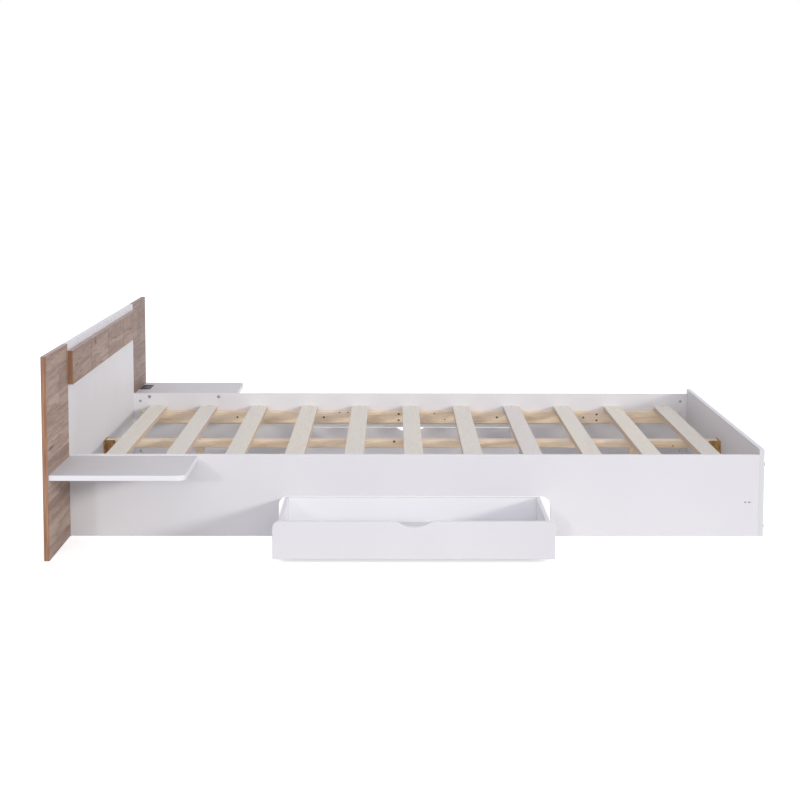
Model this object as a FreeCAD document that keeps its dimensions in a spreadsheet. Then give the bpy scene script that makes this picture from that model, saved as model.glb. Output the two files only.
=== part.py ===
"""A low platform bed with a winged headboard, two bedside shelves and two drawers on casters.

Millimetres. +X runs from the headboard to the foot, +Y from the near side to the far side, +Z up.
The origin is on the floor, in the middle of the bed's outline. The near drawer stands pulled out.
"""
import FreeCAD, Part
import math
import os
import re

import Sketcher

# Driving dimensions

SIZES = {
    # Base
    "bed_length": 2045.0,
    "bed_width": 1560.0,
    "board": 15.0,
    "arris": 0.8,
    "rail_height": 245.0,
    "foot_rise": 17.0,
    "pilot_size": 4.0,
    "pilot_depth": 3.0,
    "pilot_pitch": 12.0,
    "pilot_from_end": 22.0,
    "pilot_height": 103.0,
    # Headboard
    "head_height": 574.0,
    "wing_width": 388.0,
    "trim_height": 100.0,
    "trim_thick": 15.0,
    "trim_drop": 21.0,
    "batten_height": 80.0,
    "batten_thick": 15.0,
    "batten_reach": 250.0,
    "lower_batten_base": 85.0,
    "upper_batten_base": 335.0,
    # Slat deck
    "mattress_recess": 45.0,
    "slat_width": 60.0,
    "slat_thick": 18.0,
    "slat_arris": 1.5,
    "slat_margin": 62.5,
    "slat_end_gap": 2.0,
    "softwood_arris": 2.5,
    "ledger_height": 45.0,
    "ledger_thick": 20.0,
    "ledger_end_gap": 32.0,
    "beam_width": 50.0,
    "beam_thick": 25.0,
    "beam_gap": 0.3,
    "leg_length_side": 26.0,
    "leg_width_side": 45.0,
    "leg_from_head": 315.0,
    "leg_from_foot": 287.0,
    # Beam hangers
    "steel": 2.0,
    "hanger_height": 44.0,
    "hanger_reach": 36.0,
    "hanger_flange": 22.0,
    "hanger_round": 8.0,
    # Shelves
    "shelf_length": 380.0,
    "shelf_setback": 9.0,
    "shelf_drop": 4.0,
    "shelf_round": 28.0,
    # Drawer openings and drawers
    "opening_width": 808.0,
    "opening_bridge": 124.5,
    "opening_round": 28.0,
    "front_gap": 10.0,
    "front_top_gap": 3.0,
    "front_lift": 11.0,
    "front_round": 20.0,
    "scallop_width": 100.0,
    "scallop_depth": 17.0,
    "side_inset": 15.0,
    "side_thick": 12.0,
    "side_lift": 5.0,
    "box_depth": 400.0,
    "floor_under": 38.0,
    "floor_thick": 5.0,
    "groove_depth": 5.0,
    "groove_gap": 0.2,
    "pulled_out": 408.0,
    "drawer_aside": 6.0,
    # Casters
    "wheel_size": 28.0,
    "wheel_width": 12.0,
    "wheel_tread": 3.5,
    "wheel_hub": 12.0,
    "wheel_dish": 2.5,
    "wheel_round": 1.2,
    "pin_size": 5.0,
    "pin_gap": 0.05,
    "pin_head": 1.2,
    "cheek": 2.5,
    "cheek_gap": 0.5,
    "cheek_below": 5.0,
    "cheek_round": 8.0,
    "fork_length": 22.0,
    "plate_thick": 2.5,
    "plate_length": 44.0,
    "plate_width": 38.0,
    "plate_round": 5.0,
    "caster_from_side": 62.0,
    "caster_from_end": 58.0,
    # Fasteners
    "screw_size": 4.0,
    "screw_length": 28.0,
    "screw_head": 8.0,
    "screw_head_depth": 2.4,
    "leg_screw_grip": 22.0,
    "short_screw_length": 13.0,
    "short_screw_head": 7.5,
    "short_screw_rise": 1.8,
    "ledger_screw_edge": 33.5,
    "batten_screw_edge": 60.0,
    "trim_screw_edge": 90.0,
    "bolt_size": 6.0,
    "bolt_head": 12.0,
    "bolt_rise": 2.5,
    "bolt_low": 31.0,
    "bolt_from_top": 28.0,
    "nut_size": 10.0,
    "nut_length": 12.0,
    "nut_from_end": 25.0,
    "bolt_past_nut": 4.0,
    "shelf_bolt_from_head": 60.0,
    "shelf_bolt_from_tip": 64.0,
    "shelf_bolt_grip": 35.0,
    "wing_bolt_from_rail": 95.0,
    "wing_bolt_from_edge": 21.0,
    "back_screw_edge": 18.0,
    # Power unit
    "unit_length": 152.0,
    "unit_width": 40.0,
    "unit_bezel": 2.5,
    "unit_bezel_lap": 5.0,
    "unit_depth": 34.0,
    "unit_wall": 2.0,
    "unit_gap": 0.5,
    "unit_round": 5.0,
    "unit_from_head": 22.0,
    "unit_from_edge": 153.0,
    "unit_sink": 1.0,
    "module_thick": 14.0,
    "module_gap": 0.2,
    "usb_length": 44.0,
    "usb_port_long": 12.6,
    "usb_port_short": 5.2,
    "usb_port_deep": 11.0,
    "usb_port_pitch": 20.0,
    "blade_slot_long": 8.0,
    "blade_slot_wide": 2.2,
    "blade_slot_pitch": 12.7,
    "blade_slot_deep": 10.0,
    "ground_size": 5.0,
    "ground_offset": 9.0,
}

SLAT_COUNT = 11
LEG_NAMES = ("head", "middle", "foot")
LEDGER_SCREWS = 7
TRIM_SCREWS = 4
PILOT_HOLES = 2
OUTLET_COUNT = 2
FULL_TURN = 360
SAME_PLACE = 0.001

# Sizes worked out from the driving dimensions

DERIVED = {
    "overall_length": "batten_thick + 2 * board + bed_length + bolt_rise",
    "head_face": "batten_thick + board - overall_length / 2",
    "foot_face": "head_face + bed_length",
    "middle": "head_face + bed_length / 2",
    "half_width": "bed_width / 2",
    "inner_half": "half_width - board",
    "panel_back": "head_face - board",
    "foot_height": "rail_height + foot_rise",
    "bolt_high": "rail_height - bolt_from_top",
    "deck_height": "rail_height - mattress_recess",
    "deck_under": "deck_height - slat_thick",
    "slat_pitch": f"(bed_length - 2 * slat_margin - slat_width) / {SLAT_COUNT - 1}",
    "slat_length": "2 * inner_half - 2 * slat_end_gap",
    "ledger_length": "bed_length - 2 * ledger_end_gap",
    "ledger_middle": "deck_under - ledger_height / 2",
    "ledger_screw_pitch": f"(ledger_length - 2 * ledger_screw_edge) / {LEDGER_SCREWS - 1}",
    "leg_pitch": f"(bed_length - leg_from_head - leg_from_foot) / {len(LEG_NAMES) - 1}",
    "beam_under": "deck_under - beam_thick",
    "beam_length": "bed_length - 2 * steel - 2 * beam_gap",
    "saddle_half": "beam_width / 2 + beam_gap",
    "trim_base": "head_height - trim_drop - trim_height",
    "trim_middle": "trim_base + trim_height / 2",
    "trim_screw_pitch": f"(bed_width - 2 * trim_screw_edge) / {TRIM_SCREWS - 1}",
    "shelf_top": "rail_height - shelf_drop",
    "shelf_depth": "wing_width - shelf_setback",
    "shelf_under": "shelf_top - board",
    "shelf_middle": "shelf_top - board / 2",
    "opening_height": "rail_height - opening_bridge",
    "scallop_radius": "scallop_width * scallop_width / (8 * scallop_depth) + scallop_depth / 2",
    "front_width": "opening_width - 2 * front_gap",
    "front_top": "opening_height - front_top_gap",
    "box_half": "front_width / 2 - side_inset",
    "inside_half": "box_half - side_thick",
    "floor_half": "inside_half + groove_depth",
    "side_base": "front_lift + side_lift",
    "side_height": "front_top - side_base",
    "back_inside": "board + box_depth - side_thick",
    "back_outside": "board + box_depth",
    "groove_top": "floor_under + floor_thick + groove_gap",
    "floor_near": "board - groove_depth + groove_gap",
    "floor_far": "back_inside + groove_depth - groove_gap",
    "caster_across": "inside_half - caster_from_side",
    "caster_front": "board + caster_from_end",
    "caster_back": "back_inside - caster_from_end",
    "axle_height": "wheel_size / 2",
    "fork_inside": "wheel_width / 2 + cheek_gap",
    "fork_outside": "fork_inside + cheek",
    "pin_half": "fork_outside + pin_head",
    "unit_body_length": "unit_length - 2 * unit_bezel_lap",
    "unit_body_width": "unit_width - 2 * unit_bezel_lap",
    "unit_well_length": "unit_body_length - 2 * unit_wall",
    "unit_well_width": "unit_body_width - 2 * unit_wall",
    "unit_across": "shelf_depth - unit_from_edge",
    "bezel_under": "shelf_top - unit_bezel",
    "outlet_length": "(unit_well_length - usb_length) / 2",
}

doc = FreeCAD.newDocument("platform_bed")
sheet = doc.addObject("Spreadsheet::Sheet", "Sizes")
for row, (alias, number) in enumerate(SIZES.items(), start=1):
    sheet.set(f"A{row}", alias)
    sheet.set(f"B{row}", str(number))
    sheet.setAlias(f"B{row}", alias)
doc.recompute()


def formula(text):
    """A formula that any object can hold: derived sizes written out, cells named with their sheet."""
    def spell(found):
        word = found.group()
        if word in DERIVED:
            return f"({formula(DERIVED[word])})"
        return f"Sizes.{word}" if word in SIZES else word
    return re.sub(r"[a-z]\w*", spell, text)


def value(text):
    """What a formula comes to now."""
    return float(sheet.evalExpression(formula(text)))


def bind(thing, prop, text):
    thing.setExpression(prop, formula(text))


def place(thing, across, along, up, half_turn=False):
    """Stands a piece at a point that formulas give, turned to face the far side if asked."""
    if half_turn:
        turn = FreeCAD.Rotation(FreeCAD.Vector(0, 0, 1), FULL_TURN / 2)
        thing.Placement = FreeCAD.Placement(FreeCAD.Vector(), turn)
    bind(thing, "Placement.Base.x", across)
    bind(thing, "Placement.Base.y", along)
    bind(thing, "Placement.Base.z", up)
    return thing


# Building blocks

def new_body(label):
    body = doc.addObject("PartDesign::Body", "Body")
    body.Label = label
    body.AllowCompound = True
    return body


def new_sketch(body, plane, offset="0"):
    """A sketch on one of the body's own planes, moved along the plane's normal."""
    sketch = body.newObject("Sketcher::SketchObject", "Sketch")
    face = next(item for item in body.Origin.OriginFeatures if item.Role == f"{plane}_Plane")
    sketch.AttachmentSupport = (face, [""])
    sketch.MapMode = "FlatFace"
    bind(sketch, "AttachmentOffset.Base.z", offset)
    return sketch


def hold(sketch, geometry, point, across, up):
    """Fixes a point of the sketch at two formulas from its origin."""
    for kind, text in (("DistanceX", across), ("DistanceY", up)):
        number = sketch.addConstraint(Sketcher.Constraint(kind, -1, 1, geometry, point, value(text)))
        sketch.setExpression(f"Constraints[{number}]", formula(text))


def outline(sketch, corners):
    """Straight lines round the corners, which are pairs of formulas."""
    spots = [FreeCAD.Vector(value(across), value(up), 0) for across, up in corners]
    first = sketch.GeometryCount
    count = len(spots)
    for index, spot in enumerate(spots):
        sketch.addGeometry(Part.LineSegment(spot, spots[(index + 1) % count]), False)
    for index in range(count):
        after = first + (index + 1) % count
        sketch.addConstraint(Sketcher.Constraint("Coincident", first + index, 2, after, 1))
    for index, (across, up) in enumerate(corners):
        hold(sketch, first + index, 1, across, up)
    return sketch


def rectangle(sketch, low_across, low_up, high_across, high_up):
    return outline(sketch, [(low_across, low_up), (high_across, low_up),
                            (high_across, high_up), (low_across, high_up)])


def circles(sketch, places, diameter):
    for across, up in places:
        middle = FreeCAD.Vector(value(across), value(up), 0)
        round_line = Part.Circle(middle, FreeCAD.Vector(0, 0, 1), value(diameter) / 2)
        geometry = sketch.addGeometry(round_line, False)
        number = sketch.addConstraint(Sketcher.Constraint("Diameter", geometry, value(diameter)))
        sketch.setExpression(f"Constraints[{number}]", formula(diameter))
        hold(sketch, geometry, 3, across, up)
    return sketch


def pad(body, sketch, length, reverse=False, taper=0):
    feature = body.newObject("PartDesign::Pad", "Pad")
    feature.Profile = sketch
    feature.Reversed = reverse
    bind(feature, "Length", length)
    if taper:
        bind(feature, "TaperAngle", taper)
    return feature


def pocket(body, sketch, length=None, reverse=False):
    """Cuts the sketch into the body, and makes sure that it took something away."""
    doc.recompute()
    before = body.Shape.Volume
    feature = body.newObject("PartDesign::Pocket", "Pocket")
    feature.Profile = sketch
    feature.Reversed = reverse
    if length is None:
        feature.Type = "ThroughAll"
        feature.Midplane = True
    else:
        bind(feature, "Length", length)
    doc.recompute()
    if not body.Shape.Volume < before:
        raise ValueError(f"a pocket of {body.Label} cuts nothing")
    return feature


def round_edges(body, direction, radius, spots):
    """Rounds the edges that run along an axis through the given spots of the other two axes."""
    doc.recompute()
    names = []
    axes = [axis for axis in "xyz" if axis != direction]
    wanted = [tuple(value(text) for text in spot) for spot in spots]
    for number, edge in enumerate(body.Tip.Shape.Edges, start=1):
        box = edge.BoundBox
        low = {"x": box.XMin, "y": box.YMin, "z": box.ZMin}
        high = {"x": box.XMax, "y": box.YMax, "z": box.ZMax}
        across = [low[axis] for axis in axes]
        straight = all(high[axis] - low[axis] < SAME_PLACE for axis in axes)
        if straight and any(math.dist(across, spot) < SAME_PLACE for spot in wanted):
            names.append(f"Edge{number}")
    base = body.Tip
    feature = body.newObject("PartDesign::Fillet", "Fillet")
    feature.Base = (base, names)
    bind(feature, "Radius", radius)
    return feature


def block(body, size, corner=("0", "0", "0")):
    """A rectangular block of a body, given by its size and its low corner."""
    feature = body.newObject("PartDesign::AdditiveBox", "Block")
    for prop, text in zip(("Length", "Width", "Height"), size):
        bind(feature, prop, text)
    return place(feature, *corner)


def ease(body, size="arris"):
    """Takes the sharp arris off every edge that the body has so far."""
    doc.recompute()
    base = body.Tip
    feature = body.newObject("PartDesign::Chamfer", "Chamfer")
    feature.Base = (base, [""])
    feature.UseAllEdges = True
    bind(feature, "Size", size)
    return feature


def board(label, size, corner, arris="arris"):
    """A rectangular board with eased edges that stands with its low corner at the given place."""
    body = new_body(label)
    block(body, size)
    ease(body, arris)
    return place(body, *corner)


def group(label, members):
    whole = doc.addObject("Part::Compound", "Group")
    whole.Links = members
    whole.Label = label
    return whole


def drilled(piece, tools):
    """The piece with the seats of its fasteners cut out, under the piece's own label."""
    label = piece.Label
    tool = tools[0] if len(tools) == 1 else group(f"{label}_tools", tools)
    cut = doc.addObject("Part::Cut", "Cut")
    cut.Base = piece
    cut.Tool = tool
    piece.Label = f"{label}_blank"
    cut.Label = label
    return cut


def pins(label, plane, start, places, diameter, length, reverse=False):
    """Round pins of one size that stand on a plane at the given places."""
    body = new_body(label)
    pad(body, circles(new_sketch(body, plane, start), places, diameter), length, reverse)
    return body


def screws(label, plane, face, places, reverse, length="screw_length"):
    """Countersunk wood screws: their heads are flush with the face and their shanks go into it."""
    body = pins(label, plane, face, places, "screw_size", length, reverse)
    pad(body, circles(new_sketch(body, plane, face), places, "screw_head"), "screw_head_depth", reverse,
        taper="-atan((screw_head - screw_size) / 2 / screw_head_depth)")
    return body


def flat_bolts(label, plane, face, places, length, into_reverse):
    """Bolts with a thin flat head on the face and a shank that goes into it."""
    body = pins(label, plane, face, places, "bolt_head", "bolt_rise", not into_reverse)
    pad(body, circles(new_sketch(body, plane, face), places, "bolt_size"), length, into_reverse)
    return body


# Fasteners of the bed frame, which also cut their own seats

def slat_across(number):
    return f"head_face + slat_margin + {number} * slat_pitch"


def leg_middle(number):
    return f"head_face + leg_from_head + {number} * leg_pitch"


CORNER_HEIGHTS = ("bolt_low", "bolt_high")
CORNER_SIDES = ("-(half_width - board / 2)", "half_width - board / 2")
corner_places = [(side, height) for side in CORNER_SIDES for height in CORNER_HEIGHTS]
bolt_reach = "board + nut_from_end + nut_size / 2 + bolt_past_nut"
corner_bolts = group("corner_bolts", [
    flat_bolts("head_corner_bolts", "YZ", "panel_back", corner_places, bolt_reach, False),
    flat_bolts("foot_corner_bolts", "YZ", "foot_face + board", corner_places, bolt_reach, True),
])

nut_places = [(end, height) for end in ("head_face + nut_from_end", "foot_face - nut_from_end")
              for height in CORNER_HEIGHTS]
plain_nuts = group("barrel_nuts", [
    pins("near_nuts", "XZ", "inner_half", nut_places, "nut_size", "nut_length"),
    pins("far_nuts", "XZ", "-inner_half", nut_places, "nut_size", "nut_length", True),
])

SHELF_BOLTS = ("shelf_bolt_from_head", "shelf_length - shelf_bolt_from_tip")
WING_BOLTS = ("wing_bolt_from_rail", "shelf_depth - wing_bolt_from_edge")
rail_bolt_places = [(f"head_face + {along}", "shelf_middle") for along in SHELF_BOLTS]
wing_bolt_places = [(f"{sign}(half_width + {along})", "shelf_middle")
                    for sign in ("-", "") for along in WING_BOLTS]
shelf_bolt_length = "board + shelf_bolt_grip"
shelf_bolts = group("shelf_bolts", [
    flat_bolts("near_rail_bolts", "XZ", "inner_half", rail_bolt_places, shelf_bolt_length, False),
    flat_bolts("far_rail_bolts", "XZ", "-inner_half", rail_bolt_places, shelf_bolt_length, True),
    flat_bolts("wing_bolts", "YZ", "panel_back", wing_bolt_places, shelf_bolt_length, False),
])

slat_screw_places = [(f"{slat_across(number)} + slat_width / 2",
                      f"{sign}(inner_half - ledger_thick / 2)")
                     for number in range(SLAT_COUNT) for sign in ("-", "")]
slat_screws = screws("slat_screws", "XY", "deck_height", slat_screw_places, True)

leg_screw_places = [(leg_middle(number), "0") for number in range(len(LEG_NAMES))]
leg_screws = screws("leg_screws", "XY", "deck_under", leg_screw_places, True, "beam_thick + leg_screw_grip")


def spread(middle, pitch, count):
    """Places along one axis, a pitch apart and even about the middle."""
    return [f"{middle} + {number - (count - 1) / 2} * {pitch}" for number in range(count)]


ledger_screw_places = [(across, "ledger_middle")
                       for across in spread("middle", "ledger_screw_pitch", LEDGER_SCREWS)]
near_ledger_screws = screws("near_ledger_screws", "XZ", "inner_half - ledger_thick",
                            ledger_screw_places, False)
far_ledger_screws = screws("far_ledger_screws", "XZ", "ledger_thick - inner_half",
                           ledger_screw_places, True)

BATTENS = {"lower": "lower_batten_base", "upper": "upper_batten_base"}
batten_screw_sides = ["half_width + batten_reach - batten_screw_edge", "half_width + batten_screw_edge",
                      "half_width - batten_screw_edge"]
batten_screw_across = [f"-({side})" for side in batten_screw_sides] + ["0"] + batten_screw_sides
batten_screw_places = [(across, f"{base} + batten_height / 2")
                       for base in BATTENS.values() for across in batten_screw_across]
batten_screws = screws("batten_screws", "YZ", "panel_back - batten_thick", batten_screw_places, False)
trim_screw_places = [(across, "trim_middle") for across in spread("0", "trim_screw_pitch", TRIM_SCREWS)]
trim_screws = screws("trim_screws", "YZ", "panel_back", trim_screw_places, False)
wood_screws = group("wood_screws", [slat_screws, leg_screws, near_ledger_screws, far_ledger_screws,
                                    batten_screws, trim_screws])

hanger_screw_places = [(f"{sign}(saddle_half + steel + hanger_flange / 2)",
                        f"deck_under - hanger_height * {share}")
                       for sign in ("-", "") for share in ("1 / 4", "3 / 4")]


def hanger_screw_set(label, face, toward_foot):
    """Short pan head screws that hold a hanger's plate to the board behind it."""
    body = pins(label, "YZ", face, hanger_screw_places, "short_screw_head", "short_screw_rise",
                not toward_foot)
    pad(body, circles(new_sketch(body, "YZ", face), hanger_screw_places, "screw_size"),
        "short_screw_length", toward_foot)
    return body


hanger_screws = group("hanger_screws", [
    hanger_screw_set("head_hanger_screws", "head_face + steel", True),
    hanger_screw_set("foot_hanger_screws", "foot_face - steel", False),
])

# Headboard: a panel between two wings, a trim board in front, two battens behind

parts = []


def keep(piece):
    parts.append(piece)
    return piece


panel = board("headboard_panel", ("board", "bed_width", "head_height"), ("panel_back", "-half_width", "0"))
keep(drilled(panel, [corner_bolts, batten_screws, trim_screws, hanger_screws]))
for side, low in (("near", "-half_width - wing_width"), ("far", "half_width")):
    wing = board(f"headboard_wing_{side}", ("board", "wing_width", "head_height"), ("panel_back", low, "0"))
    keep(drilled(wing, [batten_screws, shelf_bolts]))
trim = board("headboard_trim", ("trim_thick", "bed_width", "trim_height"),
             ("head_face", "-half_width", "trim_base"))
keep(drilled(trim, [trim_screws]))
for level, base in BATTENS.items():
    batten = board(f"headboard_batten_{level}",
                   ("batten_thick", "bed_width + 2 * batten_reach", "batten_height"),
                   ("panel_back - batten_thick", "-half_width - batten_reach", base))
    keep(drilled(batten, [batten_screws]))

# Side rails with their drawer openings, and the footboard


def rail(label, along, half_turn):
    body = new_body(label)
    side_view = outline(new_sketch(body, "XZ"), [
        ("-bed_length / 2", "0"), ("-opening_width / 2", "0"), ("-opening_width / 2", "opening_height"),
        ("opening_width / 2", "opening_height"), ("opening_width / 2", "0"), ("bed_length / 2", "0"),
        ("bed_length / 2", "rail_height"), ("-bed_length / 2", "rail_height"),
    ])
    pad(body, side_view, "board")
    round_edges(body, "y", "opening_round",
                [("-opening_width / 2", "opening_height"), ("opening_width / 2", "opening_height")])
    ease(body)
    pilots = [(f"bed_length / 2 - pilot_from_end - {number} * pilot_pitch", "pilot_height")
              for number in range(PILOT_HOLES)]
    pocket(body, circles(new_sketch(body, "XZ", "board"), pilots, "pilot_size"), "pilot_depth")
    return place(body, "middle", along, "0", half_turn)


rail_fasteners = [corner_bolts, plain_nuts, shelf_bolts, near_ledger_screws, far_ledger_screws]
keep(drilled(rail("rail_near", "-inner_half", False), rail_fasteners))
keep(drilled(rail("rail_far", "inner_half", True), rail_fasteners))
footboard = board("footboard", ("board", "bed_width", "foot_height"), ("foot_face", "-half_width", "0"))
keep(drilled(footboard, [corner_bolts, hanger_screws]))

# Slat deck: ledgers, centre beam on two steel hangers and three legs, slats

for side, low, own_screws in (("near", "-inner_half", near_ledger_screws),
                              ("far", "inner_half - ledger_thick", far_ledger_screws)):
    ledger = board(f"ledger_{side}", ("ledger_length", "ledger_thick", "ledger_height"),
                   ("head_face + ledger_end_gap", low, "deck_under - ledger_height"), "softwood_arris")
    keep(drilled(ledger, [own_screws, slat_screws]))

beam = board("centre_beam", ("beam_length", "beam_width", "beam_thick"),
             ("head_face + steel + beam_gap", "-beam_width / 2", "beam_under"), "softwood_arris")
keep(drilled(beam, [leg_screws]))


def hanger(label, across, half_turn):
    """A steel shoe: a plate for the board behind, and two cheeks with a shelf between them for the beam."""
    body = new_body(label)
    base, top = "deck_under - hanger_height", "deck_under"
    inside, outside = "saddle_half", "(saddle_half + steel)"
    shoe = outline(new_sketch(body, "YZ"), [
        (f"-{outside}", base), (f"-{inside}", base), (f"-{inside}", "beam_under - steel"),
        (inside, "beam_under - steel"), (inside, base), (outside, base), (outside, top), (inside, top),
        (inside, "beam_under"), (f"-{inside}", "beam_under"), (f"-{inside}", top), (f"-{outside}", top),
    ])
    pad(body, shoe, "hanger_reach")
    round_edges(body, "y", "hanger_round", [("hanger_reach", base)])
    plate = f"{outside} + hanger_flange"
    pad(body, rectangle(new_sketch(body, "YZ"), f"-({plate})", base, plate, top), "steel")
    return place(body, across, "0", "0", half_turn)


keep(drilled(hanger("beam_hanger_head", "head_face", False), [hanger_screws]))
keep(drilled(hanger("beam_hanger_foot", "foot_face", True), [hanger_screws]))

for number, name in enumerate(LEG_NAMES):
    leg = board(f"centre_leg_{name}", ("leg_length_side", "leg_width_side", "beam_under"),
                (f"{leg_middle(number)} - leg_length_side / 2", "-leg_width_side / 2", "0"))
    keep(drilled(leg, [leg_screws]))

for number in range(SLAT_COUNT):
    slat = board(f"slat_{number + 1:02d}", ("slat_width", "slat_length", "slat_thick"),
                 (slat_across(number), "-slat_length / 2", "deck_under"), "slat_arris")
    keep(drilled(slat, [slat_screws]))

# Bedside shelves, one against each wing and rail


def shelf(label, sign, low, for_power_unit):
    """A shelf with one round corner, with a seat let into it for the power unit if it carries one."""
    body = new_body(label)
    outer = f"{sign}shelf_depth"
    top_view = outline(new_sketch(body, "XY"), [
        ("0", "0"), ("shelf_length", "0"), ("shelf_length", outer), ("0", outer)])
    pad(body, top_view, "board")
    round_edges(body, "z", "shelf_round", [("shelf_length", outer)])
    ease(body)
    if for_power_unit:
        pocket(body, unit_outline(body, "board", "unit_length", "unit_width"), "unit_bezel")
        pocket(body, unit_outline(body, "0", "unit_body_length", "unit_body_width"))
    return place(body, "head_face", low, "shelf_under")


def unit_outline(body, level, length, width):
    """The outline of one step of the power unit's seat, a gap larger all round than the unit."""
    half_width, half_length = f"({width} / 2 + unit_gap)", f"({length} / 2 + unit_gap)"
    return rectangle(new_sketch(body, "XY", level),
                     f"unit_from_head - {half_width}", f"unit_across - {half_length}",
                     f"unit_from_head + {half_width}", f"unit_across + {half_length}")


keep(drilled(shelf("shelf_near", "-", "-half_width", False), [shelf_bolts]))
keep(drilled(shelf("shelf_far", "", "half_width", True), [shelf_bolts]))

# Power unit: a housing let flush into the far shelf, with outlet modules and a module of charging ports

UNIT_MIDDLE = ("head_face + unit_from_head", "half_width + unit_across")


def centred_rectangle(body, offset, length, width, along="0"):
    return rectangle(new_sketch(body, "XY", offset), f"-({width}) / 2", f"{along} - ({length}) / 2",
                     f"({width}) / 2", f"{along} + ({length}) / 2")


def power_housing():
    body = new_body("power_unit_housing")
    pad(body, centred_rectangle(body, "0", "unit_length", "unit_width"), "unit_bezel")
    round_edges(body, "z", "unit_round", [(f"{a}unit_width / 2", f"{b}unit_length / 2")
                                          for a in ("-", "") for b in ("-", "")])
    pad(body, centred_rectangle(body, "0", "unit_body_length", "unit_body_width"), "unit_depth", True)
    pocket(body, centred_rectangle(body, "unit_bezel", "unit_well_length", "unit_well_width"),
           "unit_bezel + unit_depth - unit_wall")
    return place(body, *UNIT_MIDDLE, "bezel_under")


def modules(label, spots, length, holes):
    """Blocks that stand in the housing's well, each with its own set of holes in the top."""
    body = new_body(label)
    for spot in spots:
        pad(body, centred_rectangle(body, "0", f"{length} - 2 * module_gap",
                                    "unit_well_width - 2 * module_gap", spot), "module_thick", True)
    for spot in spots:
        holes(body, spot)
    return place(body, *UNIT_MIDDLE, "shelf_top - unit_sink")


def blade_slots(body, spot):
    for sign in ("-", "+"):
        pocket(body, centred_rectangle(body, "0", "blade_slot_wide", "blade_slot_long",
                                       f"{spot} {sign} blade_slot_pitch / 2"), "blade_slot_deep")
    ground = circles(new_sketch(body, "XY"), [("ground_offset", spot)], "ground_size")
    pocket(body, ground, "blade_slot_deep")


def charging_ports(body, spot):
    for sign in ("-", "+"):
        pocket(body, centred_rectangle(body, "0", "usb_port_short", "usb_port_long",
                                       f"{spot} {sign} usb_port_pitch / 2"), "usb_port_deep")


keep(power_housing())
charger_spot = "-unit_well_length / 2 + usb_length / 2"
keep(modules("power_unit_charger", [charger_spot], "usb_length", charging_ports))
outlet_spots = spread("usb_length / 2", "outlet_length", OUTLET_COUNT)
keep(modules("power_unit_outlets", outlet_spots, "outlet_length", blade_slots))

# Drawers, drawn with the front's outer face at y = 0 and the box behind it: the near one stands pulled
# out and a little aside in its opening

DRAWERS = {"near": ("middle - drawer_aside", "-half_width - pulled_out", False),
           "far": ("middle", "half_width", True)}


def in_drawer(piece, side, across="0", inward="0", up="0"):
    """Stands a piece in its drawer; the far drawer is the near one turned half round."""
    centre, face, half_turn = DRAWERS[side]
    if half_turn:
        return place(piece, f"{centre} - ({across})", f"{face} - ({inward})", up, True)
    return place(piece, f"{centre} + {across}", f"{face} + {inward}", up)


def drawer_front(label):
    """The front with its round corners and finger scoop, grooved behind for the floor."""
    body = new_body(label)
    block(body, ("front_width", "board", "front_top - front_lift"), ("-front_width / 2", "0", "front_lift"))
    round_edges(body, "y", "front_round", [(f"{sign}front_width / 2", "front_top") for sign in ("-", "")])
    scoop = circles(new_sketch(body, "XZ"), [("0", "front_top - scallop_depth + scallop_radius")],
                    "2 * scallop_radius")
    pocket(body, scoop)
    ease(body)
    pocket(body, floor_groove(body, "board", "-floor_half", "floor_half"), "groove_depth", True)
    return body


def floor_groove(body, inward, low, high):
    """The section of the floor panel's groove, on the plane that lies this far inward."""
    return rectangle(new_sketch(body, "XZ", f"-({inward})"), low, "floor_under", high, "groove_top")


def drawer_side(label, low, groove):
    """A side that stands with its low face at the given place, grooved between the two given places."""
    body = new_body(label)
    block(body, ("side_thick", "box_depth", "side_height"), (low, "board", "side_base"))
    ease(body)
    pocket(body, floor_groove(body, "board", *groove), "box_depth")
    return body


def drawer_back(label):
    body = new_body(label)
    block(body, ("2 * inside_half", "side_thick", "side_height"),
          ("-inside_half", "back_inside", "side_base"))
    ease(body)
    pocket(body, floor_groove(body, "back_inside", "-inside_half", "inside_half"), "groove_depth")
    return body


def drawer_screws(side):
    """Screws through the sides into the ends of the back."""
    places = [("back_inside + side_thick / 2", height)
              for height in ("side_base + back_screw_edge", "front_top - back_screw_edge")]
    return group(f"{side}_drawer_screws", [
        in_drawer(screws(f"{side}_left_screws", "YZ", "-box_half", places, False), side),
        in_drawer(screws(f"{side}_right_screws", "YZ", "box_half", places, True), side),
    ])


def caster_fork(label):
    """A bent plate that carries the wheel between two cheeks, drawn round the middle of its axle."""
    body = new_body(label)
    under, top = "floor_under - axle_height - plate_thick", "floor_under - axle_height"
    arch = outline(new_sketch(body, "XZ", "fork_length / 2"), [
        ("-fork_outside", "-cheek_below"), ("-fork_inside", "-cheek_below"), ("-fork_inside", under),
        ("fork_inside", under), ("fork_inside", "-cheek_below"), ("fork_outside", "-cheek_below"),
        ("fork_outside", top), ("-fork_outside", top),
    ])
    pad(body, arch, "fork_length", True)
    tips = [(f"{sign}fork_length / 2", "-cheek_below") for sign in ("-", "")]
    round_edges(body, "x", "cheek_round", tips)
    pad(body, centred_rectangle(body, top, "plate_length", "plate_width"), "plate_thick", True)
    round_edges(body, "z", "plate_round", [(f"{a}plate_width / 2", f"{b}plate_length / 2")
                                           for a in ("-", "") for b in ("-", "")])
    return body


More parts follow.
